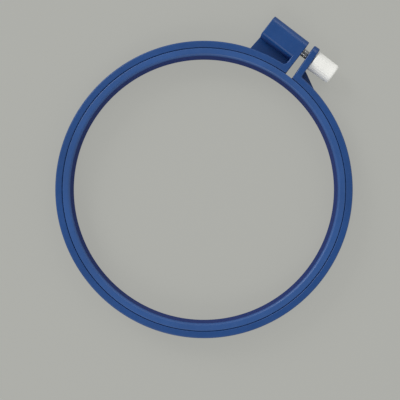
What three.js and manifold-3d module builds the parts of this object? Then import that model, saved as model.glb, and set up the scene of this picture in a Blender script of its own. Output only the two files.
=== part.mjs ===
// A screw-adjusted plastic embroidery hoop, in millimetres, lying flat with +Z up.
// +X runs along the clamp screw towards its knob, and +Y from the hoop's centre towards the lugs.
// The outer ring is one flexible moulding. It is built as two stiff arms that meet opposite the screw.
import * as THREE from "three";
import { mergeVertices } from "three/addons/utils/BufferGeometryUtils.js";
import Module from "manifold-3d";

const wasm = await Module();
wasm.setup();

// Rings
const hoopHeight = 12;
const clampRadius = 76.4; // inside of the outer ring
const clothClearance = 0.35; // between the rings, where the cloth is held
const outerRingWall = 3.65;
const innerRingWall = 3.95; // at the top face
const innerRingTaper = 0.35; // how far the bore narrows from the top face to the underside
const ringEdgeRadius = 0.8; // on the outer ring's outside and the inner ring's inside
const matingEdgeRadius = 0.4; // on the two faces that hold the cloth
const armGap = 0.3; // between the two arms, opposite the screw

// Gap between the lugs, at the outer ring's outer face
const gapToNutLug = 1.87;
const gapToTab = 2.3;
const gapMouthRadius = 0.8; // where the gap opens into the bore
const nutLugLean = THREE.MathUtils.degToRad(1.0); // towards the tab
const tabLean = THREE.MathUtils.degToRad(2.1); // towards the nut lug

// Nut lug: a housing held off the ring by a thick gap wall and a low web
const housingLength = 23.45;
const housingWidth = 12.9;
const housingEdgeRadius = 2;
const housingRimRadius = 0.5; // round its open underside
const housingSideWall = 1.7;
const housingTopWall = 1.6;
const recessWidth = 5.05; // between the ring and the housing
const gapWallThickness = 3;
const gapWallFillet = 2.5;
const nutRibThickness = 1.6;
const webThickness = 2.8;

// Tab on the other side of the gap, with a low gusset behind it
const tabThickness = 3.7;
const tabPastScrew = 6.35;
const tabCornerRadius = 4.5;
const tabFillet = 1.2;
const gussetRise = 5.6; // up the tab, from the ring's outer face
const gussetRun = 16; // along X, from the tab's outer face to the ring's

// Clamp screw and nut, M5
const screwDiameter = 4.9;
const screwLength = 30; // under the head
const screwTipChamfer = 0.8;
const screwOutset = 0.65; // from the housing's middle, away from the ring
const hexAcrossFlats = 8;
const screwHeadHeight = 3.5;
const nutThickness = 4;
const nutCornerChamfer = 0.35;

// Knob, moulded over the screw's head
const knobLength = 13.2;
const knobRadius = 5.7; // at the tab
const knobTaper = 0.25; // off the radius, towards the free end
const knobEdgeRadius = 0.9;
const knobShankDepth = 5; // from its seat to the screw's head
const fluteCount = 24;
const fluteDepth = 0.2;

// Clearances
const seatClearance = 0.3; // between pieces that touch
const gapWallBoreClearance = 0.55; // round the shank, which tilts as the hoop opens
const ribSlotClearance = 0.65;
const pocketSideClearance = 0.45; // beside the nut, which shifts as the hoop opens

// Facets
const ringSteps = 120;
const roundSteps = 24;
const cornerSteps = 3;
const flutePoints = 4; // round each flute
const overrun = 1; // how far a cutter reaches past what it cuts

// Worked out from the sizes above
const outerRadius = clampRadius + outerRingWall;
const midWallRadius = clampRadius + outerRingWall / 2;
const innerRingRadius = clampRadius - clothClearance;
const screwHeight = hoopHeight / 2;
const screwY = outerRadius + recessWidth + housingWidth / 2 + screwOutset;
const screwRadius = screwDiameter / 2;
const cornerRadiusOf = (acrossFlats) => acrossFlats / 2 / Math.cos(Math.PI / 6);
const hexCornerRadius = cornerRadiusOf(hexAcrossFlats);
const gapFaceX = -gapToNutLug + (screwY - outerRadius) * Math.tan(nutLugLean);
const pocketFrontX = gapFaceX - gapWallThickness;
const pocketBackX = pocketFrontX - nutThickness - 2 * seatClearance;
const tabFaceX = gapToTab + tabThickness / Math.cos(tabLean) - (screwY - outerRadius) * Math.tan(tabLean);
const knobSeatX = tabFaceX + knobRadius * Math.tan(tabLean) + seatClearance;
const headX = knobSeatX + knobShankDepth;

// Solids and meshes

function solidOf(geometry) {
  const bare = geometry.clone();
  bare.deleteAttribute("normal");
  bare.deleteAttribute("uv");
  const merged = mergeVertices(bare, 1e-4);
  return new wasm.Manifold(
    new wasm.Mesh({
      numProp: 3,
      vertProperties: new Float32Array(merged.attributes.position.array),
      triVerts: new Uint32Array(merged.index.array),
    }),
  );
}

function meshOf(name, solid, material) {
  const { numProp, vertProperties, triVerts } = solid.getMesh();
  const positions = new Float32Array(triVerts.length * 3);
  triVerts.forEach((vertex, i) => {
    positions.set(vertProperties.subarray(vertex * numProp, vertex * numProp + 3), i * 3);
  });
  const geometry = new THREE.BufferGeometry();
  geometry.setAttribute("position", new THREE.BufferAttribute(positions, 3));
  geometry.computeVertexNormals();
  const mesh = new THREE.Mesh(geometry, material);
  mesh.name = name;
  return mesh;
}

// Frames: the lugs are drawn upright beside the gap and then leaned about the ring's outer face.

const nutLugFrame = new THREE.Matrix4()
  .makeTranslation(-gapToNutLug, outerRadius, 0)
  .multiply(new THREE.Matrix4().makeRotationZ(-nutLugLean));
const tabFrame = new THREE.Matrix4()
  .makeTranslation(gapToTab, outerRadius, 0)
  .multiply(new THREE.Matrix4().makeRotationZ(tabLean));
const ringCentreIn = (frame) => new THREE.Vector3().applyMatrix4(frame.clone().invert());

// An outline drawn in plan, raised from one height to another.
function upright(shape, low, high, frame = new THREE.Matrix4()) {
  const geometry = new THREE.ExtrudeGeometry(shape, {
    depth: high - low,
    bevelEnabled: false,
    curveSegments: cornerSteps * 2,
  });
  return solidOf(geometry.translate(0, 0, low).applyMatrix4(frame));
}

// An outline drawn across the screw, with its first axis along Y and its second up, run along X.
function along(shape, startX, endX, frame = new THREE.Matrix4()) {
  const geometry = new THREE.ExtrudeGeometry(shape, {
    depth: endX - startX,
    bevelEnabled: false,
    curveSegments: cornerSteps * 2,
  });
  const turn = new THREE.Matrix4().makeBasis(
    new THREE.Vector3(0, 1, 0),
    new THREE.Vector3(0, 0, 1),
    new THREE.Vector3(1, 0, 0),
  );
  return solidOf(geometry.translate(0, 0, startX).applyMatrix4(turn).applyMatrix4(frame));
}

function polygon(points) {
  return new THREE.Shape(points.map(([x, y]) => new THREE.Vector2(x, y)));
}

function rectangle(left, bottom, right, top) {
  return polygon([
    [left, bottom],
    [right, bottom],
    [right, top],
    [left, top],
  ]);
}

// Points of a quarter turn round a corner's centre, from one angle to the next.
function quarter(x, y, radius, fromDegrees) {
  return Array.from({ length: cornerSteps + 1 }, (_, i) => {
    const angle = THREE.MathUtils.degToRad(fromDegrees + (90 * i) / cornerSteps);
    return new THREE.Vector2(x + radius * Math.cos(angle), y + radius * Math.sin(angle));
  });
}

// A closed profile of radius and height, turned round the Z axis.
function turned(profile, steps) {
  const closed = [...profile, profile[0].clone()];
  return solidOf(new THREE.LatheGeometry(closed, steps).rotateX(Math.PI / 2));
}

// A profile of radius and distance along X that starts and ends on the screw's axis.
function turnedOnScrew(profile, steps) {
  const points = profile.map(([radius, x]) => new THREE.Vector2(radius, x));
  const geometry = new THREE.LatheGeometry(points, steps).rotateZ(-Math.PI / 2);
  return solidOf(geometry.translate(0, screwY, screwHeight));
}

// A hexagonal bar on the screw's axis, with its corners up and down.
function hexagonOnScrew(acrossFlats, startX, endX) {
  const radius = cornerRadiusOf(acrossFlats);
  const corners = Array.from({ length: 6 }, (_, i) => [
    screwY + radius * Math.sin((i * Math.PI) / 3),
    screwHeight - radius * Math.cos((i * Math.PI) / 3),
  ]);
  return along(polygon(corners), startX, endX);
}

function boreOnScrew(radius, startX, endX) {
  return turnedOnScrew(
    [
      [0, startX],
      [radius, startX],
      [radius, endX],
      [0, endX],
    ],
    roundSteps,
  );
}

// Rings

function ringSolid(outer, outerEdge, innerTop, innerBottom, innerEdge) {
  return turned(
    [
      ...quarter(outer - outerEdge, outerEdge, outerEdge, -90),
      ...quarter(outer - outerEdge, hoopHeight - outerEdge, outerEdge, 0),
      ...quarter(innerTop + innerEdge, hoopHeight - innerEdge, innerEdge, 90),
      ...quarter(innerBottom + innerEdge, innerEdge, innerEdge, 180),
    ],
    ringSteps,
  );
}

function outerRingSolid() {
  return ringSolid(outerRadius, ringEdgeRadius, clampRadius, clampRadius, matingEdgeRadius);
}

function innerRingSolid() {
  const innerTop = innerRingRadius - innerRingWall;
  return ringSolid(innerRingRadius, matingEdgeRadius, innerTop, innerTop - innerRingTaper, ringEdgeRadius);
}

function cylinderCore(radius) {
  return turned(
    [
      new THREE.Vector2(0, -overrun),
      new THREE.Vector2(radius, -overrun),
      new THREE.Vector2(radius, hoopHeight + overrun),
      new THREE.Vector2(0, hoopHeight + overrun),
    ],
    ringSteps,
  );
}

// The plan outline of a wall that rises from the ring beside the gap, in the lug's frame. Its far side
// runs into the ring's outer face with a fillet.
function filletedWall(frame, thickness, side, fillet, top) {
  const ring = ringCentreIn(frame);
  const farX = side * thickness;
  const filletX = farX + side * fillet;
  const reach = outerRadius + fillet;
  const filletY = ring.y + Math.sqrt(reach ** 2 - (filletX - ring.x) ** 2);
  const start = Math.atan2(ring.y - filletY, ring.x - filletX);
  const end = side > 0 ? Math.PI : 0;
  const turnBy = side > 0 ? end - ((start + 2 * Math.PI) % (2 * Math.PI)) : end - start;
  const steps = 2 * cornerSteps;
  const curve = Array.from({ length: steps + 1 }, (_, i) => {
    const angle = start + (turnBy * i) / steps;
    return [filletX + fillet * Math.cos(angle), filletY + fillet * Math.sin(angle)];
  });
  const outline = [...curve, [farX, top], [0, top], [0, -outerRingWall], [curve[0][0], -outerRingWall]];
  return polygon(outline);
}

// A cutter that rounds the corner where the gap's face meets the outer ring's bore.
function boreCornerCut(frame, side) {
  const ring = ringCentreIn(frame);
  const r = gapMouthRadius;
  const y = ring.y + Math.sqrt(clampRadius ** 2 - ring.x ** 2);
  const round = quarter(0, 0, r, 180).map((p) => [side * (r + p.x), y + r + p.y]);
  return upright(
    polygon([...round, [side * r, y - overrun], [-side * overrun, y - overrun], [-side * overrun, y + r]]),
    -overrun,
    hoopHeight + overrun,
    frame,
  );
}

// The plan region that one arm keeps, from the gap's face round to the joint opposite the screw.
function armRegion(frame, side) {
  const reach = 2 * outerRadius;
  const low = new THREE.Vector3(0, -2 * outerRingWall, 0).applyMatrix4(frame);
  const high = new THREE.Vector3(0, outerRadius, 0).applyMatrix4(frame);
  const outline = [
    [(side * armGap) / 2, -reach],
    [(side * armGap) / 2, 0],
    [low.x, low.y],
    [high.x, high.y],
    [side * reach, high.y],
    [side * reach, -reach],
  ];
  return upright(polygon(outline), -overrun, hoopHeight + overrun);
}

// Nut lug

function housingBlock() {
  const near = recessWidth;
  const far = recessWidth + housingWidth;
  const top = housingEdgeRadius;
  const rim = housingRimRadius;
  const section = new THREE.Shape([
    ...quarter(far - rim, rim, rim, -90),
    ...quarter(far - top, hoopHeight - top, top, 0),
    ...quarter(near + top, hoopHeight - top, top, 90),
    ...quarter(near + rim, rim, rim, 180),
  ]);
  return along(section, -housingLength, 0, nutLugFrame);
}

function housingHollow() {
  const near = recessWidth + housingSideWall;
  const far = recessWidth + housingWidth - housingSideWall;
  const endX = pocketBackX - nutRibThickness + gapToNutLug;
  const outline = rectangle(near, -overrun, far, hoopHeight - housingTopWall);
  return along(outline, -housingLength + housingSideWall, endX, nutLugFrame);
}

function nutPocket() {
  const half = hexAcrossFlats / 2 + pocketSideClearance;
  const ceiling = screwHeight + hexCornerRadius + seatClearance;
  const outline = rectangle(screwY - half, -overrun, screwY + half, ceiling);
  return along(outline, pocketBackX, pocketFrontX);
}

// A slot in the rib behind the nut, round over the screw and open underneath.
function ribSlot() {
  const half = screwRadius + ribSlotClearance;
  const arch = new THREE.Shape();
  arch.moveTo(screwY - half, -overrun);
  arch.lineTo(screwY + half, -overrun);
  arch.absarc(screwY, screwHeight, half, 0, Math.PI, false);
  return along(arch, pocketBackX - nutRibThickness - overrun, pocketBackX + seatClearance);
}

function nutWeb() {
  const outline = rectangle(
    -housingLength,
    -2 * outerRingWall,
    -gapWallThickness / 2,
    recessWidth + housingSideWall / 2,
  );
  return upright(outline, 0, webThickness, nutLugFrame);
}

function nutLug() {
  const top = recessWidth + housingSideWall / 2;
  const wall = filletedWall(nutLugFrame, gapWallThickness, -1, gapWallFillet, top);
  return housingBlock()
    .add(upright(wall, 0, hoopHeight, nutLugFrame))
    .add(nutWeb())
    .subtract(housingHollow())
    .subtract(nutPocket())
    .subtract(ribSlot())
    .subtract(boreOnScrew(screwRadius + gapWallBoreClearance, pocketFrontX - overrun, gapToTab));
}

// Tab

function tabPlate() {
  const end = screwY + tabPastScrew - outerRadius;
  const r = tabCornerRadius;
  const section = new THREE.Shape([
    new THREE.Vector2(-outerRingWall, 0),
    ...quarter(end - r, r, r, -90),
    ...quarter(end - r, hoopHeight - r, r, 0),
    new THREE.Vector2(-outerRingWall, hoopHeight),
  ]);
  return along(section, 0, tabThickness, tabFrame);
}

// A wedge from the ring's centre. The ring's core is taken out of it with the rest of the lug's.
function tabGusset() {
  const top = new THREE.Vector3(tabThickness, gussetRise, 0).applyMatrix4(tabFrame);
  const endX = top.x + gussetRun;
  const wedge = [
    [0, 0],
    [endX, Math.sqrt(outerRadius ** 2 - endX ** 2)],
    [top.x, top.y],
  ];
  return upright(polygon(wedge), 0, webThickness);
}

function tabLug() {
  const rootTop = tabFillet * 2;
  const root = filletedWall(tabFrame, tabThickness, 1, tabFillet, rootTop);
  return tabPlate()
    .add(upright(root, 0, hoopHeight, tabFrame))
    .add(tabGusset())
    .subtract(boreOnScrew(screwRadius + seatClearance, 0, knobSeatX + overrun));
}

function armSolid(lug, frame, side) {
  return outerRingSolid()
    .add(lug.subtract(cylinderCore(midWallRadius)))
    .intersect(armRegion(frame, side))
    .subtract(boreCornerCut(frame, side));
}

// Clamp screw, nut and knob

function screwSolid() {
  const tipX = headX - screwLength;
  const shank = turnedOnScrew(
    [
      [0, tipX],
      [screwRadius - screwTipChamfer, tipX],
      [screwRadius, tipX + screwTipChamfer],
      [screwRadius, headX + screwHeadHeight / 2],
      [0, headX + screwHeadHeight / 2],
    ],
    roundSteps,
  );
  return shank.add(hexagonOnScrew(hexAcrossFlats, headX, headX + screwHeadHeight));
}

function nutSolid() {
  const frontX = pocketFrontX - seatClearance;
  const backX = frontX - nutThickness;
  const rim = hexCornerRadius - nutCornerChamfer * 2;
  const chamfers = turnedOnScrew(
    [
      [0, backX],
      [rim, backX],
      [hexCornerRadius, backX + nutCornerChamfer],
      [hexCornerRadius, frontX - nutCornerChamfer],
      [rim, frontX],
      [0, frontX],
    ],
    roundSteps,
  );
  return hexagonOnScrew(hexAcrossFlats, backX, frontX)
    .intersect(chamfers)
    .subtract(boreOnScrew(screwRadius + seatClearance, backX - overrun, frontX + overrun));
}

// The knob's grip tapers to its free end, and its shallow flutes fade out at both edges.
function knobSolid() {
  const endX = knobSeatX + knobLength;
  const endRadius = knobRadius - knobTaper;
  const r = knobEdgeRadius;
  const profile = [
    new THREE.Vector2(0, knobSeatX),
    ...quarter(knobRadius - r, knobSeatX + r, r, -90),
    ...quarter(endRadius - r, endX - r, r, 0),
    new THREE.Vector2(0, endX),
  ];
  const body = new THREE.LatheGeometry(profile, fluteCount * flutePoints);
  const position = body.attributes.position;
  for (let i = 0; i < position.count; i++) {
    const radius = Math.hypot(position.getX(i), position.getZ(i));
    const angle = Math.atan2(position.getZ(i), position.getX(i));
    const onGrip = radius > endRadius - r / 2;
    const depth = onGrip ? fluteDepth * (0.5 - 0.5 * Math.cos(fluteCount * angle)) : 0;
    const scale = radius > 0 ? (radius - depth) / radius : 1;
    position.setX(i, position.getX(i) * scale);
    position.setZ(i, position.getZ(i) * scale);
  }
  const grip = solidOf(body.rotateZ(-Math.PI / 2).translate(0, screwY, screwHeight));
  const socket = hexagonOnScrew(
    hexAcrossFlats + 2 * seatClearance,
    headX - seatClearance,
    headX + screwHeadHeight + seatClearance,
  );
  const bore = boreOnScrew(screwRadius + seatClearance, knobSeatX - overrun, headX);
  return grip.subtract(socket).subtract(bore);
}

// Materials

const bluePlastic = (color) => new THREE.MeshStandardMaterial({ color, roughness: 0.42, metalness: 0 });
const outerRingBlue = bluePlastic(0x2c4c86);
const innerRingBlue = bluePlastic(0x32538b);
const whitePlastic = new THREE.MeshStandardMaterial({ color: 0xe8e8e2, roughness: 0.5, metalness: 0 });
const platedSteel = new THREE.MeshStandardMaterial({ color: 0x9a9c9e, roughness: 0.35, metalness: 1 });

// Assembly

const hoop = new THREE.Group();
hoop.add(meshOf("outer_ring_nut_arm", armSolid(nutLug(), nutLugFrame, -1), outerRingBlue));
hoop.add(meshOf("outer_ring_tab_arm", armSolid(tabLug(), tabFrame, 1), outerRingBlue.clone()));
hoop.add(meshOf("inner_ring", innerRingSolid(), innerRingBlue));
hoop.add(meshOf("clamp_screw", screwSolid(), platedSteel));
hoop.add(meshOf("clamp_nut", nutSolid(), platedSteel.clone()));
hoop.add(meshOf("knob", knobSolid(), whitePlastic));

// The origin is at the middle of the underside of the box round the whole hoop.
const box = new THREE.Box3().setFromObject(hoop);
hoop.position.y = -(box.min.y + box.max.y) / 2;

const part = new THREE.Group();
part.add(hoop);
export default part;
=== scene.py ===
# The looks of a screw-adjusted plastic embroidery hoop: moulded blue rings, a white knob and a
# plated screw and nut, lying flat on a plain grey table under soft light. All sizes are in metres.
import math

import bmesh
import bpy
from mathutils import Matrix, Vector


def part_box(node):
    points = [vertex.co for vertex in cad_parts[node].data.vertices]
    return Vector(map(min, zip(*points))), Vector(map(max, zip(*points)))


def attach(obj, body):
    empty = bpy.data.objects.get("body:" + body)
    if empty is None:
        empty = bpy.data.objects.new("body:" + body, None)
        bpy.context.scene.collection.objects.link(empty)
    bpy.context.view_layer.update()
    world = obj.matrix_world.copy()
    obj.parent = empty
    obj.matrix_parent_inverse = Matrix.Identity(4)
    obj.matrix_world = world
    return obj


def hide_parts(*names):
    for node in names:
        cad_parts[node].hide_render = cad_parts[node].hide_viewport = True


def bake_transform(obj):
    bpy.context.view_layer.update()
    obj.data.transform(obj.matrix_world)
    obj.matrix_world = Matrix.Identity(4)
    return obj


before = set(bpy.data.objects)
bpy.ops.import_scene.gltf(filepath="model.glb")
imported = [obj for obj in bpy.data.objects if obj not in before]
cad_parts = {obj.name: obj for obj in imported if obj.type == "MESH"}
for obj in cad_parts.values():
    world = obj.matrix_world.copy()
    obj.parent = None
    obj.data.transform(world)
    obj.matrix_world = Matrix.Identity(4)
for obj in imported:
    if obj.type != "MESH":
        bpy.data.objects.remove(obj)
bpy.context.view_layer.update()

MM = 0.001
TOUCHING = 1e-6  # what is nearer than this counts as being at the same place
DOUBLES = 1e-7  # corners nearer than this are merged in a finished piece
SMOOTH_UP_TO = math.radians(32)  # a sharper edge stays an edge

# Places and sizes that the frame gives
OUTER_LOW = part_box("outer_ring_nut_arm")[0]
INNER_LOW, INNER_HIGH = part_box("inner_ring")
SCREW_LOW, SCREW_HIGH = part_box("clamp_screw")
NUT_LOW, NUT_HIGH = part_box("clamp_nut")
KNOB_LOW, KNOB_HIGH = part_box("knob")
HEIGHT = INNER_HIGH.z
CENTRE = Vector(((INNER_LOW.x + INNER_HIGH.x) / 2, (INNER_LOW.y + INNER_HIGH.y) / 2, 0))
OUTER_RADIUS = CENTRE.y - OUTER_LOW.y
INNER_RADIUS = INNER_HIGH.x
SCREW_AXIS = Vector((0, (KNOB_LOW.y + KNOB_HIGH.y) / 2, (KNOB_LOW.z + KNOB_HIGH.z) / 2))
SCREW_OUT = SCREW_AXIS.y - CENTRE.y - OUTER_RADIUS  # from the ring's outer face

# Clearances that more than one piece uses
SEAT = 0.3 * MM
OVERRUN = 1 * MM  # how far a cutter or a root runs past the face that it meets

# Rings
RING_STEPS = 288
OUTER_WALL = 3.65 * MM
INNER_WALL = 3.95 * MM
INNER_TAPER = 0.35 * MM
EDGE_RADIUS = 0.8 * MM
MATING_EDGE_RADIUS = 0.5 * MM
BORE_EDGE_RADIUS = 1.4 * MM
BORE_RADIUS = OUTER_RADIUS - OUTER_WALL
CLOSED_UP = 0.05 * MM  # how much nearer the other each ring stands, as in an empty hoop drawn tight
BEND = 1.5 * MM  # the outer ring bends opposite the screw, this far to each side
BEND_STEPS = 10

# The gap between the lugs
GAP_TO_NUT_LUG = 1.87 * MM
GAP_TO_TAB = 2.3 * MM
GAP_EDGE = 0.35 * MM
MOUTH_RADIUS = 0.8 * MM  # where the gap opens into the bore
MOUTH_FROM_MIDDLE = 3.5 * MM  # the mouth is level with the bore this far from the gap's middle
MOUTH_ARM = 1.2 * MM  # the cutter's reach to each side below the mouth
MOUTH_CORNERS = 3 * MM  # the mouth's two corners are nearer than this to the gap's middle

# The lugs beside the gap, drawn upright and then leaned about the ring's outer face
NUT_LUG_LEAN = math.radians(1.0)
TAB_LEAN = math.radians(2.1)
LUG_PROUD = 0.03 * MM  # a lug's gap face stands this proud of the ring's
ROOT_DEPTH = 1.8 * MM  # how deep a lug's root lies in the ring's wall
FILLET_SHARE = 0.8  # of a lug's fillet that its rounded corner takes up
FILLET_SUNK = 0.6 * MM  # how deep the fillet's far end lies in the ring
WEB = 2.8 * MM

# Nut lug
HOUSING_LENGTH = 23.45 * MM
HOUSING_WIDTH = 12.9 * MM
FAR_EDGE_RADIUS = 4.0 * MM
NEAR_EDGE_RADIUS = 2.1 * MM
HOUSING_END_RADIUS = 0.5 * MM
HOLLOW_EDGE_RADIUS = 0.6 * MM
SIDE_WALL = 1.7 * MM
TOP_WALL = 1.6 * MM
RECESS = 5.05 * MM
GAP_WALL = 3 * MM
GAP_WALL_FILLET = 2.5 * MM
GAP_WALL_IN_HOUSING = 0.2 * MM  # how far past the housing's rounded edge the gap wall runs
WEB_SPLAY = 0.9 * MM
WEB_SHORT = 0.1 * MM  # how far the web ends before the housing's end
NUT_RIB = 1.6 * MM
POCKET_CLEARANCE = 0.45 * MM  # beside the nut, which shifts as the hoop opens
RIB_CLEARANCE = 0.65 * MM  # round the shank, which tilts as the hoop opens
GAP_WALL_CLEARANCE = 0.55 * MM

# Tab
TAB = 3.7 * MM
TAB_PAST_SCREW = 6.35 * MM
TAB_CORNER_RADIUS = 4.5 * MM
TAB_FILLET = 1.2 * MM
TAB_EDGE_RADIUS = 0.7 * MM
TAB_GAP_EDGE = 0.6 * MM
GUSSET_RISE = 5.6 * MM
GUSSET_RUN = 16 * MM

# Screw and nut
SCREW_RADIUS = 2.45 * MM
TIP_CHAMFER = 0.5 * MM
PITCH = 0.8 * MM
THREAD_DEPTH = 0.433 * MM
THREAD_BASE = PITCH * 0.75
THREAD_CREST = PITCH / 8
THREAD_SUNK = 0.12 * MM  # how deep the thread's rib lies in its core
THREAD_PLAY = 0.05 * MM
THREAD_STEPS = 32  # in one turn
ACROSS_FLATS = 8 * MM
CORNER_RADIUS = ACROSS_FLATS / 2 / math.cos(math.pi / 6)
HEAD_HEIGHT = 3.5 * MM
HEAD_EDGE_RADIUS = 0.3 * MM
NUT_CONE = CORNER_RADIUS * 1.02  # the chamfers' widest radius
NUT_CONE_NARROWS = 0.86  # to this share of it, at the nut's faces
NUT_FLANK = 0.4 * MM  # from a face to where the cone is widest

# Knob
KNOB_TAPER = 0.25 * MM
KNOB_EDGE_RADIUS = 0.9 * MM
KNOB_SEAT_EDGE_RADIUS = 0.35 * MM
KNOB_SEATED = 0.2 * MM  # how much nearer the tab it stands than its node
KNOB_CAGE = 1.0121  # smoothing draws the knob in from its cage by this share
KNOB_CUTS = 5  # across its length
KNOB_SMOOTHING = 2
KNOB_END_RIMS = (0.5 * MM, 2 * MM)  # loops that keep its ends flat when it is smoothed
FLUTES = 24
FLUTE_DEPTH = 0.13 * MM
FLUTE_FADE = 1.6 * MM  # no flute is pressed this near either end
SOCKET_CORNERS = 1.155  # a hexagon's corners lie this many times as far out as its flats

# Plastic: each pattern has its number of patches to a metre
PLASTIC_IOR = 1.47
FLOW_PATCHES = 45
FLOW_MARKS = 0.06  # how much lighter and darker they make the colour
SCUFF_PATCHES = 900
SCUFFS_SHOW = 0.35  # at the most
DULL_PATCHES = 300
RIPPLE_PATCHES = 60
RIPPLE_DEPTH = 0.02 * MM
GRAIN_PATCHES = 3200
GRAIN_DEPTH = 0.006 * MM
KNOB_GRAIN_DEPTH = 0.001 * MM
POLISH_BLEND = 0.5 * MM  # it comes in over this much to each side of the ring's outer face

# Zinc-plated steel
ZINC_PATCHES = 500
ZINC_DULL = (0.7, 0.71, 0.71)
ZINC_BRIGHT = (0.82, 0.82, 0.8)
# Painted shade: the dark colour given to the thread's roots
ZINC_ROOT_PAINTED_SHADE = (0.16, 0.17, 0.18)
BRUSH_PATCHES = 1500
ZINC_GRAIN_PATCHES = 4000
ZINC_GRAIN_DEPTH = 0.003 * MM

# Table, light and camera
TABLE_WIDTH = 6
TABLE_BELOW = 0.05 * MM  # how far it lies under the hoop
TABLE_COLOUR = (0.419, 0.423, 0.396)
TABLE_GLOW = 0.8  # the share of the table's look that takes no shadow
# Brightness of the surroundings, from the horizon (0) to straight above (1)
SURROUNDINGS = ((0.0, 0.6), (0.3, 0.85), (0.55, 0.84), (0.8, 0.56), (0.9, 0.37), (1.0, 0.33))
LAMP_DISTANCE = 2.4
LAMP_SIZE = 1.0
CAMERA_PLACE = CENTRE + Vector((1.65 * MM, -5.82 * MM, 395 * MM))
CAMERA_TURN = math.radians(36.6)
CAMERA_NEAREST = 0.01
SENSOR_WIDTH = 36  # in millimetres, as is the lens
LENS = 64.18


# Modelling steps

SELECT_MODE = {"verts": "VERT", "edges": "EDGE", "faces": "FACE"}


def take(piece):
    """Selects this piece alone."""
    bpy.ops.object.select_all(action="DESELECT")
    piece.select_set(True)
    bpy.context.view_layer.objects.active = piece


def near(value, target):
    return abs(value - target) < TOUCHING


def level(piece):
    """Puts what is at the table's or the hoop's height exactly there, so that faces lie flush."""
    for vertex in piece.data.vertices:
        for height in (0, HEIGHT):
            if near(vertex.co.z, height):
                vertex.co.z = height


def settle(piece, place=None):
    """Moves the piece to its place, if one is given, and its place into its mesh."""
    take(piece)
    if place is not None:
        piece.matrix_world = place @ piece.matrix_world
    bpy.ops.object.transform_apply(location=True, rotation=True, scale=True)
    level(piece)
    return piece


def added(name, size=(1, 1, 1)):
    """The primitive that was just added, named and sized, with its place in its mesh."""
    piece = bpy.context.object
    piece.name = name
    piece.scale = size
    return settle(piece)


def edit(piece):
    take(piece)
    bpy.ops.object.mode_set(mode="EDIT")


def done():
    bpy.ops.object.mode_set(mode="OBJECT")
    level(bpy.context.object)


def pick(kind, wanted):
    """Selects the vertices, edges or faces of the edited piece whose corners are all wanted."""
    piece = bpy.context.edit_object
    bpy.ops.mesh.select_mode(type=SELECT_MODE[kind])
    bpy.ops.mesh.select_all(action="DESELECT")
    shape = bmesh.from_edit_mesh(piece.data)
    for part in getattr(shape, kind):
        points = [part.co] if kind == "verts" else [v.co for v in part.verts]
        if all(wanted(p) for p in points):
            part.select_set(True)
    bmesh.update_edit_mesh(piece.data)


def pick_all():
    bpy.ops.mesh.select_all(action="SELECT")


def keep_edges(wanted):
    """Keeps those of the selected edges that are wanted, by their two ends."""
    piece = bpy.context.edit_object
    for edge in bmesh.from_edit_mesh(piece.data).edges:
        edge.select_set(edge.select and wanted(edge.verts[0].co, edge.verts[1].co))
    bmesh.update_edit_mesh(piece.data)


def round_edges(radius, segments):
    bpy.ops.mesh.bevel(offset=radius, segments=segments, profile=0.5, affect="EDGES")


def round_corners(radius, segments):
    bpy.ops.mesh.bevel(offset=radius, segments=segments, profile=0.5, affect="VERTICES")


def move(x=0.0, y=0.0, z=0.0):
    bpy.ops.transform.translate(value=(x, y, z))


def widen(x, y=0.0):
    """Extrudes the selected edges of a level shape."""
    bpy.ops.mesh.extrude_edges_move(TRANSFORM_OT_translate={"value": (x, y, 0)})


def narrow(share, x):
    """Draws what is selected in towards the screw's axis, or out from it."""
    middle = (x, SCREW_AXIS.y, SCREW_AXIS.z)
    bpy.ops.transform.resize(value=(1, share, share), center_override=middle)


def outward_faces():
    pick_all()
    bpy.ops.mesh.normals_make_consistent(inside=False)


def outline_alone():
    """Leaves a flat shape's outline without its face."""
    pick_all()
    bpy.ops.mesh.delete(type="ONLY_FACE")


def one_face():
    """Makes one face of a flat shape's faces."""
    pick_all()
    bpy.ops.mesh.dissolve_faces()


def raise_outline(height):
    """Makes one face of the edited outline and raises it."""
    one_face()
    pick_all()
    bpy.ops.mesh.extrude_region_move(TRANSFORM_OT_translate={"value": (0, 0, height)})
    outward_faces()


def split(at, normal):
    pick_all()
    bpy.ops.mesh.bisect(plane_co=at, plane_no=normal)


def block(name, low, high):
    """A box from its lowest to its highest corner."""
    bpy.ops.object.select_all(action="DESELECT")
    low, high = Vector(low), Vector(high)
    bpy.ops.mesh.primitive_cube_add(size=1, location=(low + high) / 2)
    return added(name, high - low)


def flat(name, low, high):
    """A level rectangle from one corner to the other, on the table."""
    bpy.ops.object.select_all(action="DESELECT")
    middle = ((low[0] + high[0]) / 2, (low[1] + high[1]) / 2, 0)
    bpy.ops.mesh.primitive_plane_add(size=1, location=middle)
    return added(name, (high[0] - low[0], high[1] - low[1], 1))


def upright_flat(name, middle, wide, tall):
    """An upright rectangle across Y."""
    bpy.ops.object.select_all(action="DESELECT")
    bpy.ops.mesh.primitive_plane_add(size=1, location=middle, rotation=(math.pi / 2, 0, 0))
    return added(name, (wide, tall, 1))


# Lays a primitive's axis along the screw, with its first corner upwards
ALONG_SCREW = Matrix.Rotation(math.pi / 2, 3, "X") @ Matrix.Rotation(math.pi / 2, 3, "Y")


def bar(name, radius, start, end, sides=64):
    """A round or many-sided bar on the screw's axis, with two of its corners up and down."""
    bpy.ops.object.select_all(action="DESELECT")
    bpy.ops.mesh.primitive_cylinder_add(
        vertices=sides,
        radius=radius,
        depth=end - start,
        location=((start + end) / 2, SCREW_AXIS.y, SCREW_AXIS.z),
        rotation=ALONG_SCREW.to_euler(),
    )
    return added(name)


def combine(piece, other, how):
    """Joins another shape to the piece, or cuts it out of the piece, and removes it."""
    take(piece)
    step = piece.modifiers.new("combine", "BOOLEAN")
    step.operation = how
    step.solver = "EXACT"
    step.object = other
    bpy.ops.object.modifier_apply(modifier=step.name)
    bpy.data.objects.remove(other)
    return piece


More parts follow.
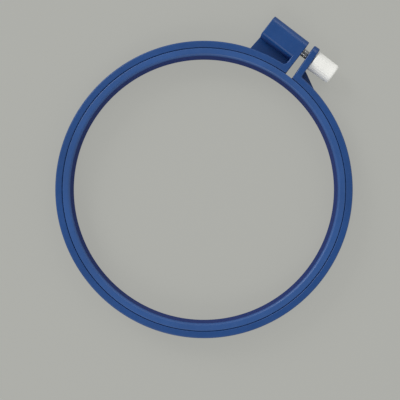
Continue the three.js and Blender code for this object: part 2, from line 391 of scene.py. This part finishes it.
def join(piece, other):
    return combine(piece, other, "UNION")


def cut(piece, other):
    return combine(piece, other, "DIFFERENCE")


def finish_surface(piece):
    """Merges doubles, and shades round edges smooth and flat faces flat."""
    edit(piece)
    pick_all()
    bpy.ops.mesh.remove_doubles(threshold=DOUBLES)
    done()
    take(piece)
    bpy.ops.object.shade_smooth_by_angle(angle=SMOOTH_UP_TO)
    step = piece.modifiers.new("flat faces", "WEIGHTED_NORMAL")
    step.keep_sharp = True
    bpy.ops.object.modifier_apply(modifier=step.name)
    return piece


# Rings


def ring(name, outer, outer_edge, wall, inner_edge, taper=0.0):
    """A ring whose section is a rectangle with rounded corners, spun round the hoop's middle."""
    middle = CENTRE.x + outer - wall / 2
    piece = upright_flat(name, (middle, CENTRE.y, HEIGHT / 2), wall, HEIGHT)
    edit(piece)
    pick("verts", lambda p: p.x < middle and p.z < HEIGHT / 2)
    move(x=-taper)
    pick("verts", lambda p: p.x > middle)
    round_corners(outer_edge, segments=6)
    pick("verts", lambda p: p.x < middle)
    round_corners(inner_edge, segments=6)
    outline_alone()
    pick_all()
    bpy.ops.mesh.spin(steps=RING_STEPS, angle=2 * math.pi, center=CENTRE, axis=(0, 0, 1))
    pick_all()
    bpy.ops.mesh.remove_doubles(threshold=TOUCHING)
    outward_faces()
    done()
    return piece


def inner_ring():
    outer, wall = INNER_RADIUS + CLOSED_UP, INNER_WALL + CLOSED_UP
    edges = {"outer_edge": MATING_EDGE_RADIUS, "inner_edge": BORE_EDGE_RADIUS}
    return finish_surface(
        ring("inner_ring_moulding", outer, wall=wall, taper=INNER_TAPER, **edges)
    )


# Frames of the two lugs: x across the gap, y outwards from the ring's outer face
ROOT = CENTRE.y + OUTER_RADIUS
NUT_LUG = Matrix.Translation((-GAP_TO_NUT_LUG, ROOT, 0)) @ Matrix.Rotation(-NUT_LUG_LEAN, 4, "Z")
TAB_LUG = Matrix.Translation((GAP_TO_TAB, ROOT, 0)) @ Matrix.Rotation(TAB_LEAN, 4, "Z")


def ring_face(lug, x):
    """How far out the ring's outer face is at x, in a lug's frame."""
    middle = lug.inverted() @ CENTRE
    return middle.y + math.sqrt(OUTER_RADIUS**2 - (x - middle.x) ** 2)


def gap_face(lug, out):
    """Where a lug's gap face is, at a distance out from the ring's outer face."""
    lean = NUT_LUG_LEAN if lug is NUT_LUG else -TAB_LEAN
    start = -GAP_TO_NUT_LUG - LUG_PROUD if lug is NUT_LUG else GAP_TO_TAB + LUG_PROUD
    return start + out * math.tan(lean)


def gap_cutter():
    """The gap, wider where it opens into the bore and chamfered at the top and underside."""
    mouth = CENTRE.y + math.sqrt((BORE_RADIUS - CLOSED_UP) ** 2 - MOUTH_FROM_MIDDLE**2)
    left, right = gap_face(NUT_LUG, OVERRUN), gap_face(TAB_LUG, OVERRUN)
    piece = flat("gap", (left, mouth - 3 * OVERRUN), (right, ROOT + OVERRUN))
    edit(piece)
    split((0, mouth, 0), (0, 1, 0))
    for lug, x in ((NUT_LUG, left), (TAB_LUG, right)):
        pick("verts", lambda p: near(p.x, x) and near(p.y, mouth))
        move(x=gap_face(lug, -OUTER_WALL) - x)
    for side in (-1, 1):
        pick("edges", lambda p: p.x * side > 0 and p.y < mouth + TOUCHING)
        widen(side * MOUTH_ARM)
    one_face()
    pick("verts", lambda p: near(p.y, mouth) and abs(p.x) < MOUTH_CORNERS)
    round_corners(MOUTH_RADIUS, segments=5)
    pick_all()
    move(z=-OVERRUN)
    raise_outline(HEIGHT + 2 * OVERRUN)
    for z in (GAP_EDGE, HEIGHT - GAP_EDGE):
        split((0, 0, z), (0, 0, 1))
    for side in (-1, 1):
        pick("verts", lambda p: p.x * side > 0 and (p.z < 0 or p.z > HEIGHT))
        move(x=side * (GAP_EDGE + OVERRUN))
    done()
    return piece


def wall_outline(name, lug, side, thickness, fillet, top):
    """The outline of a wall beside the gap, whose far side runs into the ring with a fillet."""
    far = side * thickness
    foot = far + side * 2 * fillet
    step = ring_face(lug, far)
    piece = flat(name, (min(far, 0), -ROOT_DEPTH), (max(far, 0), top))
    edit(piece)
    split((0, step, 0), (0, 1, 0))
    pick("edges", lambda p: near(p.x, far) and p.y < step + TOUCHING)
    drop = ring_face(lug, foot) - step - FILLET_SUNK
    widen(foot - far, drop)
    one_face()
    pick("verts", lambda p: near(p.x, far) and near(p.y, step))
    round_corners(fillet * FILLET_SHARE, segments=8)
    done()
    return piece, step + drop


def wall_on_ring(name, lug, side, thickness, fillet, top, edge, gap_edge, corner=0.0):
    """A full-height wall beside the gap, with its own radius on its edges there."""
    piece, foot = wall_outline(name, lug, side, thickness, fillet, top)
    edit(piece)
    raise_outline(HEIGHT)
    if corner:
        pick("edges", lambda p: near(p.y, top))
        keep_edges(lambda a, b: near(a.z, b.z))
        round_edges(corner, segments=10)
    pick("edges", lambda p: p.x * side > thickness - TOUCHING and p.y > foot - TOUCHING)
    keep_edges(lambda a, b: near(a.y, top) or not (near(a.x, b.x) and near(a.y, b.y)))
    round_edges(edge, segments=4)
    pick("edges", lambda p: near(p.x, 0))
    keep_edges(lambda a, b: a.y > 0 or not near(a.y, b.y))
    round_edges(gap_edge, segments=1 if near(gap_edge, GAP_EDGE) else 3)
    done()
    return piece


# Nut lug: a housing, open underneath, held off the ring by a thick wall and a low web


def housing():
    near_side, far_side = RECESS, RECESS + HOUSING_WIDTH
    piece = block("housing", (-HOUSING_LENGTH, near_side, 0), (0, far_side, HEIGHT))
    edit(piece)
    for side, radius in ((far_side, FAR_EDGE_RADIUS), (near_side, NEAR_EDGE_RADIUS)):
        pick("edges", lambda p: near(p.z, HEIGHT) and near(p.y, side))
        round_edges(radius, segments=10)
    pick("edges", lambda p: near(p.x, 0))
    round_edges(GAP_EDGE, segments=1)
    pick("edges", lambda p: near(p.x, -HOUSING_LENGTH))
    round_edges(HOUSING_END_RADIUS, segments=4)
    done()
    return piece


def housing_hollow():
    """The hollow is open underneath and ends at the rib behind the nut."""
    end = NUT_LOW.x - SEAT - NUT_RIB + GAP_TO_NUT_LUG
    low = (-HOUSING_LENGTH + SIDE_WALL, RECESS + SIDE_WALL, -OVERRUN)
    high = (end, RECESS + HOUSING_WIDTH - SIDE_WALL, HEIGHT - TOP_WALL)
    piece = block("hollow", low, high)
    edit(piece)
    pick("edges", lambda p: p.z > 0 or near(p.x, low[0]) or near(p.x, high[0]))
    round_edges(HOLLOW_EDGE_RADIUS, segments=3)
    done()
    return settle(piece, NUT_LUG)


def web():
    """A low web that joins the housing to the ring and splays out towards it."""
    end = -HOUSING_LENGTH + WEB_SHORT
    piece = block("web", (end, -ROOT_DEPTH, 0), (-GAP_WALL / 2, RECESS + SIDE_WALL / 2, WEB))
    edit(piece)
    pick("verts", lambda p: near(p.x, end) and p.y < 0)
    move(x=-WEB_SPLAY, y=ring_face(NUT_LUG, end - WEB_SPLAY))
    done()
    return piece


def nut_pocket():
    """A slot for the nut, open underneath, with a roof that follows the nut's corner."""
    half = ACROSS_FLATS / 2 + POCKET_CLEARANCE
    start, end = NUT_LOW.x - SEAT, NUT_HIGH.x + SEAT
    low = (start, SCREW_AXIS.y - half, -OVERRUN)
    high = (end, SCREW_AXIS.y + half, SCREW_AXIS.z + CORNER_RADIUS / 2 + SEAT)
    roof = CORNER_RADIUS + SEAT
    return join(block("pocket", low, high), bar("roof", roof, start, end, sides=6))


def cut_shank_way(lug):
    """Opens the rib behind the nut from underneath, and the gap wall with a round hole."""
    half = SCREW_RADIUS + RIB_CLEARANCE
    start, end = NUT_LOW.x - SEAT - NUT_RIB - OVERRUN, NUT_LOW.x
    cut(lug, bar("rib_slot", half, start, end))
    low = (start, SCREW_AXIS.y - half, -OVERRUN)
    cut(lug, block("rib_mouth", low, (end, SCREW_AXIS.y + half, SCREW_AXIS.z)))
    cut(lug, bar("gap_wall_hole", SCREW_RADIUS + GAP_WALL_CLEARANCE, NUT_HIGH.x, GAP_TO_TAB))


def nut_lug():
    top = RECESS + NEAR_EDGE_RADIUS + GAP_WALL_IN_HOUSING
    edges = {"edge": EDGE_RADIUS, "gap_edge": GAP_EDGE}
    piece = housing()
    join(piece, wall_on_ring("gap_wall", NUT_LUG, -1, GAP_WALL, GAP_WALL_FILLET, top, **edges))
    join(piece, web())
    settle(piece, NUT_LUG)
    cut(piece, housing_hollow())
    cut(piece, nut_pocket())
    cut_shank_way(piece)
    return piece


# Tab on the other side of the gap, with a low gusset behind it


def gusset():
    """A low wedge between the tab's outer face and the ring."""
    top = TAB_LUG @ Vector((TAB, GUSSET_RISE, 0))
    end_x = top.x + GUSSET_RUN
    end_y = CENTRE.y + math.sqrt(OUTER_RADIUS**2 - end_x**2)
    slope = (end_y - top.y) / GUSSET_RUN
    start_x, low_y = top.x - OVERRUN, ROOT - ROOT_DEPTH
    piece = flat("gusset", (start_x, low_y), (end_x, top.y))
    edit(piece)
    pick("verts", lambda p: near(p.x, end_x) and near(p.y, top.y))
    move(y=end_y - top.y)
    pick("verts", lambda p: near(p.x, start_x) and near(p.y, top.y))
    move(y=-slope * OVERRUN)
    pick("verts", lambda p: near(p.x, end_x) and near(p.y, low_y))
    move(y=end_y - ROOT)
    raise_outline(WEB)
    done()
    return piece


def tab_lug():
    top = SCREW_OUT + TAB_PAST_SCREW
    edges = {"edge": TAB_EDGE_RADIUS, "gap_edge": TAB_GAP_EDGE, "corner": TAB_CORNER_RADIUS}
    piece = wall_on_ring("tab", TAB_LUG, 1, TAB, TAB_FILLET, top, **edges)
    settle(piece, TAB_LUG)
    join(piece, gusset())
    cut(piece, bar("tab_hole", SCREW_RADIUS + SEAT, 0, KNOB_LOW.x + OVERRUN))
    return piece


def outer_ring():
    """The whole outer ring with both lugs, which is one moulding."""
    wall = OUTER_WALL + CLOSED_UP
    piece = ring("outer_ring_moulding", OUTER_RADIUS, EDGE_RADIUS, wall, MATING_EDGE_RADIUS)
    cut(piece, gap_cutter())
    join(piece, nut_lug())
    join(piece, tab_lug())
    edit(piece)
    for i in range(BEND_STEPS + 1):
        split((BEND * (2 * i / BEND_STEPS - 1), 0, 0), (1, 0, 0))
    done()
    return finish_surface(piece)


# Screw and nut


def thread_rib(name, start, end, play):
    """A right-hand helical rib on the screw's axis, wider and taller by the thread's play."""
    root = SCREW_RADIUS - THREAD_DEPTH
    base, crest = THREAD_BASE + play, THREAD_CREST + play
    tall = THREAD_DEPTH + play + THREAD_SUNK
    piece = upright_flat(name, (0, 0, root - THREAD_SUNK + tall / 2), base, tall)
    edit(piece)
    pick("verts", lambda p: p.z > root)
    bpy.ops.transform.resize(value=(crest / base, 1, 1), center_override=(0, 0, root))
    outline_alone()
    done()
    take(piece)
    step = piece.modifiers.new("thread", "SCREW")
    step.axis = "X"
    step.screw_offset = PITCH
    step.iterations = math.ceil((end - start) / PITCH)
    step.steps = step.render_steps = THREAD_STEPS
    bpy.ops.object.modifier_apply(modifier=step.name)
    edit(piece)
    pick_all()
    bpy.ops.mesh.fill_holes(sides=0)
    outward_faces()
    done()
    return settle(piece, Matrix.Translation((start, SCREW_AXIS.y, SCREW_AXIS.z)))


def clamp_screw():
    """A threaded shank, chamfered at its tip, and the hexagonal head inside the knob."""
    head = SCREW_HIGH.x - HEAD_HEIGHT
    tip = SCREW_LOW.x
    piece = bar("clamp_screw_threaded", SCREW_RADIUS - THREAD_DEPTH, tip, head + HEAD_HEIGHT / 2)
    edit(piece)
    pick("edges", lambda p: near(p.x, tip))
    round_edges(TIP_CHAMFER, segments=1)
    done()
    join(piece, thread_rib("thread", tip + PITCH, head - 2 * PITCH, play=0))
    hexagon = bar("head", CORNER_RADIUS, head, SCREW_HIGH.x, sides=6)
    edit(hexagon)
    pick("edges", lambda p: near(p.x, SCREW_HIGH.x))
    round_edges(HEAD_EDGE_RADIUS, segments=2)
    done()
    join(piece, hexagon)
    return finish_surface(piece)


def clamp_nut():
    """A hexagonal nut, chamfered at both faces, with a threaded hole."""
    piece = bar("clamp_nut_threaded", CORNER_RADIUS, NUT_LOW.x, NUT_HIGH.x, sides=6)
    chamfers = bar("chamfers", NUT_CONE, NUT_LOW.x, NUT_HIGH.x)
    edit(chamfers)
    for face in (NUT_LOW.x, NUT_HIGH.x):
        pick("verts", lambda p: near(p.x, face))
        narrow(NUT_CONE_NARROWS, face)
    done()
    join(chamfers, bar("widest", NUT_CONE, NUT_LOW.x + NUT_FLANK, NUT_HIGH.x - NUT_FLANK))
    combine(piece, chamfers, "INTERSECT")
    root = SCREW_RADIUS - THREAD_DEPTH + THREAD_PLAY
    cut(piece, bar("hole", root, NUT_LOW.x - PITCH, NUT_HIGH.x + PITCH))
    turns_before = math.floor((NUT_LOW.x - SCREW_LOW.x) / PITCH) - 1
    start = SCREW_LOW.x + turns_before * PITCH
    cut(piece, thread_rib("nut_thread", start, NUT_HIGH.x + PITCH, play=THREAD_PLAY))
    return finish_surface(piece)


# Knob


def press_flutes(radius, start, end):
    """Draws in every other line along the edited grip, and leaves its two ends round."""

    def in_flute(p):
        line = math.atan2(p.z - SCREW_AXIS.z, p.y - SCREW_AXIS.y) / (math.pi / FLUTES)
        return round(line) % 2 == 0 and start + FLUTE_FADE < p.x < end - FLUTE_FADE

    pick("verts", in_flute)
    narrow(1 - 2 * FLUTE_DEPTH / radius, 0)


def fluted_grip(start, end):
    """A tapered grip with soft flutes that fade out at both ends."""
    radius = (KNOB_HIGH.z - KNOB_LOW.z) / 2 * KNOB_CAGE
    piece = bar("knob_fluted", radius, start, end, sides=2 * FLUTES)
    edit(piece)
    pick("verts", lambda p: near(p.x, end))
    narrow((radius - KNOB_TAPER) / radius, end)
    for x, rounding in ((start, KNOB_SEAT_EDGE_RADIUS), (end, KNOB_EDGE_RADIUS)):
        pick("edges", lambda p: near(p.x, x))
        round_edges(rounding, segments=2)
    pick_all()
    keep_edges(lambda a, b: abs(a.x - b.x) > radius)
    bpy.ops.mesh.subdivide(number_cuts=KNOB_CUTS)
    press_flutes(radius, start, end)
    for x in (start, end):
        pick("faces", lambda p: near(p.x, x))
        for rim in KNOB_END_RIMS:
            bpy.ops.mesh.inset(thickness=rim)
    done()
    take(piece)
    step = piece.modifiers.new("soft", "SUBSURF")
    step.levels = step.render_levels = KNOB_SMOOTHING
    bpy.ops.object.modifier_apply(modifier=step.name)
    return piece


def knob():
    """The grip, moulded over the screw's head."""
    start, head = KNOB_LOW.x - KNOB_SEATED, SCREW_HIGH.x - HEAD_HEIGHT
    piece = fluted_grip(start, KNOB_HIGH.x)
    corners = CORNER_RADIUS + SEAT * SOCKET_CORNERS
    cut(piece, bar("socket", corners, head - SEAT, SCREW_HIGH.x + SEAT, sides=6))
    cut(piece, bar("shank_hole", SCREW_RADIUS + SEAT, start - OVERRUN, head))
    return finish_surface(piece)


# Materials


class Material:
    """A node material for one finish. Its nodes are added one by one and linked by name."""

    def __init__(self, name):
        self.material = bpy.data.materials.new(name)
        self.material.use_nodes = True
        self.nodes = self.material.node_tree.nodes
        self.links = self.material.node_tree.links
        self.shader = self.nodes["Principled BSDF"]

    def node(self, kind, **settings):
        made = self.nodes.new(kind)
        for key, value in settings.items():
            setattr(made, key, value)
        return made

    def link(self, source, target):
        self.links.new(source, target)

    def place(self):
        return self.node("ShaderNodeTexCoord").outputs["Object"]

    def levelness(self):
        """1 where the surface is level, 0 where it is upright."""
        turned = self.node("ShaderNodeSeparateXYZ")
        self.link(self.node("ShaderNodeNewGeometry").outputs["Normal"], turned.inputs["Vector"])
        return self.math("ABSOLUTE", turned.outputs["Z"])

    def noise(self, per_metre, detail=2.0):
        made = self.node("ShaderNodeTexNoise")
        made.inputs["Scale"].default_value = per_metre
        made.inputs["Detail"].default_value = detail
        self.link(self.place(), made.inputs["Vector"])
        return made.outputs["Fac"]

    def spread(self, value, low, high, from_low=0.35, from_high=0.65):
        made = self.node("ShaderNodeMapRange")
        made.inputs["From Min"].default_value = from_low
        made.inputs["From Max"].default_value = from_high
        made.inputs["To Min"].default_value = low
        made.inputs["To Max"].default_value = high
        self.link(value, made.inputs["Value"])
        return made.outputs["Result"]

    def mix(self, share, first, second):
        made = self.node("ShaderNodeMix", data_type="RGBA")
        self.link(share, made.inputs["Factor"])
        for socket, colour in (("A", first), ("B", second)):
            target = [s for s in made.inputs if s.name == socket and s.type == "RGBA"][0]
            if isinstance(colour, tuple):
                target.default_value = (*colour, 1)
            else:
                self.link(colour, target)
        return [s for s in made.outputs if s.type == "RGBA"][0]

    def math(self, operation, *values):
        made = self.node("ShaderNodeMath", operation=operation)
        for socket, value in zip(made.inputs, values):
            if isinstance(value, (int, float)):
                socket.default_value = value
            else:
                self.link(value, socket)
        return made.outputs["Value"]

    def bump(self, height, depth, under=None):
        made = self.node("ShaderNodeBump")
        made.inputs["Distance"].default_value = depth
        self.link(height, made.inputs["Height"])
        if under is not None:
            self.link(under, made.inputs["Normal"])
        return made.outputs["Normal"]

    def distance(self, middle, across):
        """How far a point is from a line through the middle, along the axis that isn't across."""
        shifted = self.node("ShaderNodeVectorMath", operation="SUBTRACT")
        self.link(self.place(), shifted.inputs[0])
        shifted.inputs[1].default_value = middle
        flattened = self.node("ShaderNodeVectorMath", operation="MULTIPLY")
        self.link(shifted.outputs["Vector"], flattened.inputs[0])
        flattened.inputs[1].default_value = across
        length = self.node("ShaderNodeVectorMath", operation="LENGTH")
        self.link(flattened.outputs["Vector"], length.inputs[0])
        return length.outputs["Value"]


def moulded_plastic(name, colour, pale, painted_upright_shading, satin, polished, sides, grain=GRAIN_DEPTH):
    """Moulded plastic: fine grain, flow marks and pale scuffs, satin on the rings.

    The lugs have a polish and the upright sides a roughness of their own, and a colour of their own
    that is painted shading: it makes upright faces darker or lighter than level ones, in place of
    light and shade.
    """
    m = Material(name)
    flow = m.spread(m.noise(FLOW_PATCHES, detail=3), 0, 1)
    deep = tuple(c * (1 - FLOW_MARKS) for c in colour)
    light = tuple(min(1, c * (1 + FLOW_MARKS)) for c in colour)
    flowing = m.mix(flow, deep, light)
    scuffed = m.noise(SCUFF_PATCHES, detail=4)
    scuffs = m.spread(scuffed, 0, SCUFFS_SHOW, from_low=0.6, from_high=0.8)
    facing_up = m.spread(m.levelness(), 0, 1, from_low=0.05, from_high=0.3)
    top_colour = m.mix(scuffs, flowing, pale)
    # Painted shading: upright faces get their own colour, darker or lighter than the level faces',
    # standing in for how light falls on them.
    m.link(m.mix(facing_up, painted_upright_shading, top_colour), m.shader.inputs["Base Color"])
    past_ring = m.distance(CENTRE, (1, 1, 0))
    starts, ends = OUTER_RADIUS - POLISH_BLEND, OUTER_RADIUS + POLISH_BLEND
    top = m.spread(past_ring, satin, polished, from_low=starts, from_high=ends)
    dull = m.math("ADD", m.math("MULTIPLY", m.math("SUBTRACT", top, sides), facing_up), sides)
    patchy = m.spread(m.noise(DULL_PATCHES, detail=3), -0.04, 0.05)
    m.link(m.math("ADD", dull, patchy), m.shader.inputs["Roughness"])
    fine = m.bump(m.noise(GRAIN_PATCHES), grain)
    ripples = m.bump(m.noise(RIPPLE_PATCHES, detail=1), RIPPLE_DEPTH, under=fine)
    m.link(ripples, m.shader.inputs["Normal"])
    m.shader.inputs["IOR"].default_value = PLASTIC_IOR
    return m.material


def plated_steel():
    """Zinc-plated steel, bright on the thread's crests, with painted shade that darkens its roots.
    """
    m = Material("plated_steel")
    radius = m.distance(SCREW_AXIS, (0, 1, 1))
    root = SCREW_RADIUS - THREAD_DEPTH
    crest = m.spread(radius, 0, 1, from_low=root, from_high=SCREW_RADIUS)
    patchy = m.spread(m.noise(ZINC_PATCHES, detail=3), 0, 1)
    plated = m.mix(patchy, ZINC_DULL, ZINC_BRIGHT)
    # Painted shade darkens the thread's roots and fades out towards the crests.
    m.link(m.mix(crest, ZINC_ROOT_PAINTED_SHADE, plated), m.shader.inputs["Base Color"])
    m.link(m.spread(m.noise(BRUSH_PATCHES), 0.3, 0.45), m.shader.inputs["Roughness"])
    m.link(m.bump(m.noise(ZINC_GRAIN_PATCHES), ZINC_GRAIN_DEPTH), m.shader.inputs["Normal"])
    m.shader.inputs["Metallic"].default_value = 1.0
    return m.material


def dress(piece, material, nodes):
    piece.data.materials.clear()
    piece.data.materials.append(material)
    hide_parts(*nodes)


# Table, light and camera


def seen_directly(nodes, links):
    """1 where a camera, glossy or transmission ray arrives."""
    path = nodes.new("ShaderNodeLightPath")
    total = path.outputs["Is Camera Ray"]
    for other in ("Is Glossy Ray", "Is Transmission Ray"):
        step = nodes.new("ShaderNodeMath")
        step.operation = "MAXIMUM"
        links.new(total, step.inputs[0])
        links.new(path.outputs[other], step.inputs[1])
        total = step.outputs["Value"]
    return total


def table():
    bpy.ops.object.select_all(action="DESELECT")
    bpy.ops.mesh.primitive_plane_add(size=TABLE_WIDTH, location=(0, 0, -TABLE_BELOW))
    piece = added("table")
    material = bpy.data.materials.new("table_grey")
    material.use_nodes = True
    nodes, links = material.node_tree.nodes, material.node_tree.links
    nodes.remove(nodes["Principled BSDF"])
    lit = nodes.new("ShaderNodeBsdfDiffuse")
    lit.inputs["Color"].default_value = (*TABLE_COLOUR, 1)
    plain = nodes.new("ShaderNodeEmission")
    plain.inputs["Color"].default_value = (*TABLE_COLOUR, 1)
    share = nodes.new("ShaderNodeMath")
    share.operation = "MULTIPLY"
    share.inputs[1].default_value = TABLE_GLOW
    links.new(seen_directly(nodes, links), share.inputs[0])
    both = nodes.new("ShaderNodeMixShader")
    links.new(share.outputs["Value"], both.inputs["Fac"])
    links.new(lit.outputs["BSDF"], both.inputs[1])
    links.new(plain.outputs["Emission"], both.inputs[2])
    links.new(both.outputs["Shader"], nodes["Material Output"].inputs["Surface"])
    piece.data.materials.append(material)


def surroundings(nodes, links):
    """White light from all round, whose strength depends on its height above the horizon."""
    direction = nodes.new("ShaderNodeTexCoord")
    height = nodes.new("ShaderNodeSeparateXYZ")
    links.new(direction.outputs["Generated"], height.inputs["Vector"])
    strength = nodes.new("ShaderNodeFloatCurve")
    points = strength.mapping.curves[0].points
    while len(points) < len(SURROUNDINGS):
        points.new(0.5, 0.5)
    for point, place in zip(points, SURROUNDINGS):
        point.location = place
    strength.mapping.update()
    links.new(height.outputs["Z"], strength.inputs["Value"])
    light = nodes["Background"]
    light.inputs["Color"].default_value = (1, 1, 1, 1)
    links.new(strength.outputs["Value"], light.inputs["Strength"])
    return light


def studio():
    """Soft light from all round, brightest at the sides, over a room of the table's colour."""
    world = bpy.data.worlds.new("studio")
    bpy.context.scene.world = world
    world.use_nodes = True
    nodes, links = world.node_tree.nodes, world.node_tree.links
    light = surroundings(nodes, links)
    room = nodes.new("ShaderNodeBackground")
    room.inputs["Color"].default_value = (*TABLE_COLOUR, 1)
    room.inputs["Strength"].default_value = 1
    path = nodes.new("ShaderNodeLightPath")
    both = nodes.new("ShaderNodeMixShader")
    links.new(path.outputs["Is Camera Ray"], both.inputs["Fac"])
    links.new(light.outputs["Background"], both.inputs[1])
    links.new(room.outputs["Background"], both.inputs[2])
    links.new(both.outputs["Shader"], nodes["World Output"].inputs["Surface"])


def soft_lamp(name, towards, power):
    """A square lamp that shines at the hoop from a direction."""
    place = CENTRE + Vector(towards).normalized() * LAMP_DISTANCE
    bpy.ops.object.light_add(type="AREA", location=place)
    lamp = bpy.context.object
    lamp.name = name
    lamp.data.shape = "SQUARE"
    lamp.data.size = LAMP_SIZE
    lamp.data.energy = power
    lamp.rotation_euler = (place - CENTRE).to_track_quat("Z", "Y").to_euler()


def camera():
    """Straight above the hoop, turned so that the lugs are at the upper right."""
    bpy.ops.object.camera_add(location=CAMERA_PLACE, rotation=(0, 0, CAMERA_TURN))
    view = bpy.context.object
    view.data.sensor_fit = "HORIZONTAL"
    view.data.sensor_width = SENSOR_WIDTH
    view.data.lens = LENS
    view.data.clip_start = CAMERA_NEAREST
    bpy.context.scene.camera = view


# Assembly

outer = outer_ring()
outer_blue = moulded_plastic(
    "outer_ring_blue",
    colour=(0.004, 0.048, 0.188),
    pale=(0.03, 0.08, 0.24),
    # Painted light: upright faces are lighter than the top, lifting the shaded walls beside the
    # recess.
    painted_upright_shading=(0.003, 0.055, 0.235),
    satin=0.46,
    polished=0.38,
    sides=1,
)
dress(outer, outer_blue, ["outer_ring_nut_arm", "outer_ring_tab_arm"])
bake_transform(outer)

inner = inner_ring()
inner_blue = moulded_plastic(
    "inner_ring_blue",
    colour=(0.017, 0.07, 0.231),
    pale=(0.05, 0.11, 0.28),
    # Painted shade: the bore and other upright faces are darker and bluer than the top.
    painted_upright_shading=(0.001, 0.018, 0.13),
    satin=0.42,
    polished=0.42,
    sides=1,
)
dress(inner, inner_blue, ["inner_ring"])
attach(inner, "inner_ring")

steel = plated_steel()
screw = clamp_screw()
dress(screw, steel, ["clamp_screw"])
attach(screw, "screw")

nut = clamp_nut()
dress(nut, steel, ["clamp_nut"])
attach(nut, "nut")

grip = knob()
white = moulded_plastic(
    "knob_white",
    colour=(0.82, 0.82, 0.78),
    pale=(0.86, 0.86, 0.83),
    painted_upright_shading=(0.82, 0.82, 0.78),
    satin=0.5,
    polished=0.5,
    sides=0.5,
    grain=KNOB_GRAIN_DEPTH,
)
dress(grip, white, ["knob"])
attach(grip, "screw")

table()
studio()
soft_lamp("window_side", towards=(-0.98, 0.16, 0.55), power=27)
soft_lamp("lug_side", towards=(-0.1, 0.97, 0.84), power=6)
soft_lamp("hoop_side", towards=(0.25, -0.97, 0.84), power=12)
camera()
bpy.context.scene.view_settings.view_transform = "Standard"
